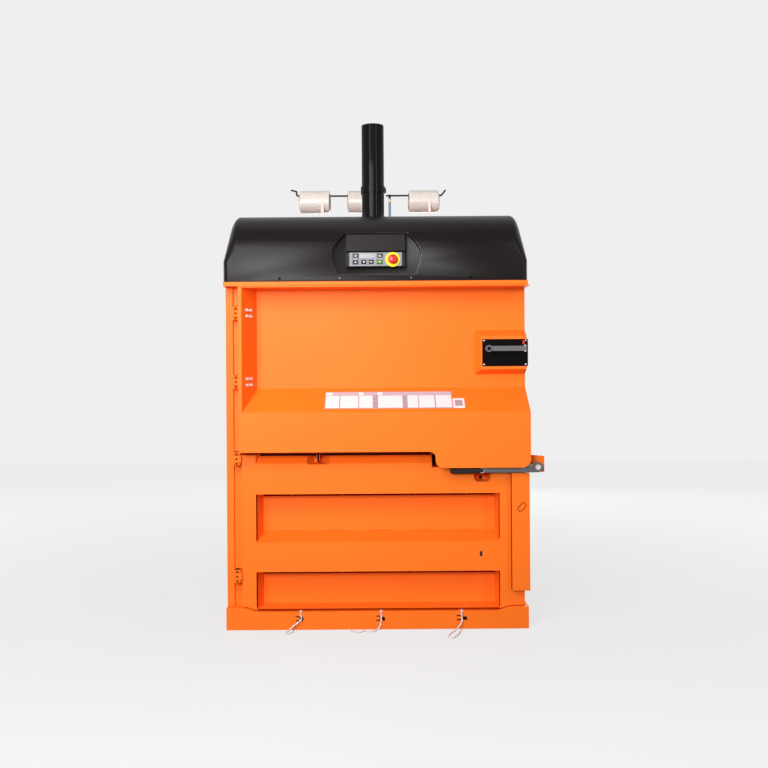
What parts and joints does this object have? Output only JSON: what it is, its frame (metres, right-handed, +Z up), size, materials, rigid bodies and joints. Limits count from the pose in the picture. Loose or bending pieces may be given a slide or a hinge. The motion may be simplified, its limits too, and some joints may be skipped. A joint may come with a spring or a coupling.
{
  "type": "recycling baler",
  "caption": "Upright baler for card and film: orange housing with two side-hung front doors, press plate on a tall hydraulic cylinder, black hood with controls, and strap rolls on top.",
  "frame": {"origin": "on the floor, in the middle of the housing's width and depth, at the underside of the base", "axes": "+X to the right seen from the front, +Y from the doors to the back, +Z up"},
  "size_m": [1.266, 0.9053, 2.107],
  "materials": {
    "orange_powder_coat": "smooth satin powder coat",
    "black_hood_plastic": "moulded, semi-gloss",
    "black_paint": "gloss black paint",
    "panel_grey": "printed membrane, plain",
    "button_black": "moulded",
    "button_green": "moulded",
    "button_pale": "moulded",
    "yellow_plastic": "moulded",
    "red_plastic": "moulded",
    "zinc_steel": "zinc plated",
    "ground_rod": "hard-chromed and ground",
    "dark_steel": "blackened",
    "strap_polyester": "woven polyester strap",
    "rubber_grip": "moulded grip",
    "nylon_white": "cast nylon",
    "blue_pipe": "painted pipe"
  },
  "bodies": {
    "housing": {"base_frame": "orange_powder_coat", "chamber_floor": "orange_powder_coat", "left_post": "orange_powder_coat", "left_wall": "orange_powder_coat", "right_wall": "orange_powder_coat", "back_wall": "orange_powder_coat", "roof_deck": "orange_powder_coat", "crosshead_beams": "orange_powder_coat", "hood": "black_hood_plastic", "control_box": "black_hood_plastic", "control_panel": "panel_grey", "estop_collar": "yellow_plastic", "cylinder_tube": "black_paint", "cylinder_flange": "black_paint", "riser_pipe": "zinc_steel", "rod_clamp": "zinc_steel", "roll_rod": "dark_steel", "breather_pipe": "blue_pipe", "oil_tank": "dark_steel", "pump_motor": "dark_steel", "frame_hinge_lugs": "orange_powder_coat", "hinge_pins": "zinc_steel", "strap_guides": "zinc_steel", "bottom_straps": "strap_polyester", "strap_tail_left": "strap_polyester", "strap_tail_middle": "strap_polyester", "strap_tail_right": "strap_polyester"},
    "upper_door": {"upper_door_panel": "orange_powder_coat", "upper_door_liner": "orange_powder_coat", "upper_door_lugs": "orange_powder_coat", "upper_hinge_bolts": "zinc_steel", "handle_pad": "orange_powder_coat", "handle_plate": "black_paint"},
    "door_handle": {"door_handle": "dark_steel", "latch_cam": "zinc_steel"},
    "lower_door": {"lower_door_panel": "orange_powder_coat", "lower_door_liner": "orange_powder_coat", "lower_door_lugs": "orange_powder_coat", "claw_cheeks": "orange_powder_coat", "lock_cover": "orange_powder_coat", "lever_bracket": "orange_powder_coat"},
    "lock_lever": {"lock_lever": "zinc_steel", "lever_grip": "rubber_grip"},
    "lock_bar": {"lock_bar": "zinc_steel"},
    "claw_left": {"claw_left": "dark_steel"},
    "claw_right": {"claw_right": "dark_steel"},
    "press": {"press_plate": "orange_powder_coat", "piston_rod": "ground_rod", "guide_pads": "nylon_white"},
    "strap_roll_left": {"strap_roll_left": "strap_polyester"},
    "strap_roll_middle": {"strap_roll_middle": "strap_polyester"},
    "strap_roll_right": {"strap_roll_right": "strap_polyester"},
    "estop": {"estop_head": "red_plastic"},
    "button_start": {"button_start": "button_green"},
    "button_stop": {"button_stop": "button_pale"},
    "button_up": {"button_up": "button_black"},
    "button_down": {"button_down": "button_black"},
    "button_menu": {"button_menu": "button_black"},
    "button_bale": {"button_bale": "button_black"}
  },
  "joints": [
    {"name": "upper_door_hinge", "type": "hinge", "parent": "housing", "child": "upper_door", "pos_m": [-0.555, -0.39, 1.1], "axis": [0, 0, -1], "range_deg": [0, 110]},
    {"name": "lower_door_hinge", "type": "hinge", "parent": "housing", "child": "lower_door", "pos_m": [-0.555, -0.39, 0.45], "axis": [0, 0, -1], "range_deg": [0, 110]},
    {"name": "handle_turn", "type": "hinge", "parent": "upper_door", "child": "door_handle", "pos_m": [0.447, -0.4, 1.111], "axis": [0, -1, 0], "range_deg": [0, 90]},
    {"name": "lever_lift", "type": "hinge", "parent": "lower_door", "child": "lock_lever", "pos_m": [0.634, -0.425, 0.643], "axis": [0, 1, 0], "range_deg": [0, 30]},
    {"name": "lock_bar_lift", "type": "slide", "parent": "lower_door", "child": "lock_bar", "axis": [0, 0, 1], "range_m": [0, 0.02]},
    {"name": "claw_left_tip", "type": "hinge", "parent": "lower_door", "child": "claw_left", "pos_m": [-0.233, -0.35, 0.68], "axis": [-1, 0, 0], "range_deg": [0, 30], "stiffness_Nm_per_rad": 0.4, "springref_deg": -28.65},
    {"name": "claw_right_tip", "type": "hinge", "parent": "lower_door", "child": "claw_right", "pos_m": [0.42, -0.35, 0.62], "axis": [-1, 0, 0], "range_deg": [0, 30], "stiffness_Nm_per_rad": 0.4, "springref_deg": -28.65},
    {"name": "press_stroke", "type": "slide", "parent": "housing", "child": "press", "axis": [0, 0, -1], "range_m": [0, 0.63]},
    {"name": "estop_push", "type": "slide", "parent": "housing", "child": "estop", "axis": [0, 1, 0], "range_m": [0, 0.005], "stiffness_N_per_m": 800, "springref_m": -0.003},
    {"name": "roll_left_spin", "type": "hinge", "parent": "housing", "child": "strap_roll_left", "pos_m": [-0.272, 0.128, 1.7948], "axis": [1, 0, 0], "continuous": true},
    {"name": "roll_middle_spin", "type": "hinge", "parent": "housing", "child": "strap_roll_middle", "pos_m": [-0.054, 0.128, 1.7948], "axis": [1, 0, 0], "continuous": true},
    {"name": "roll_right_spin", "type": "hinge", "parent": "housing", "child": "strap_roll_right", "pos_m": [0.222, 0.128, 1.7948], "axis": [1, 0, 0], "continuous": true},
    {"name": "button_start_push", "type": "slide", "parent": "housing", "child": "button_start", "axis": [0, 1, 0], "range_m": [0, 0.0015], "stiffness_N_per_m": 600, "springref_m": -0.002},
    {"name": "button_stop_push", "type": "slide", "parent": "housing", "child": "button_stop", "axis": [0, 1, 0], "range_m": [0, 0.0015], "stiffness_N_per_m": 600, "springref_m": -0.002},
    {"name": "button_up_push", "type": "slide", "parent": "housing", "child": "button_up", "axis": [0, 1, 0], "range_m": [0, 0.0015], "stiffness_N_per_m": 600, "springref_m": -0.002},
    {"name": "button_down_push", "type": "slide", "parent": "housing", "child": "button_down", "axis": [0, 1, 0], "range_m": [0, 0.0015], "stiffness_N_per_m": 600, "springref_m": -0.002},
    {"name": "button_menu_push", "type": "slide", "parent": "housing", "child": "button_menu", "axis": [0, 1, 0], "range_m": [0, 0.0015], "stiffness_N_per_m": 600, "springref_m": -0.002},
    {"name": "button_bale_push", "type": "slide", "parent": "housing", "child": "button_bale", "axis": [0, 1, 0], "range_m": [0, 0.0015], "stiffness_N_per_m": 600, "springref_m": -0.002}
  ],
  "couplings": [
    {"joint": "lock_bar_lift", "follows": "lever_lift", "m_per_rad": 0.038}
  ]
}
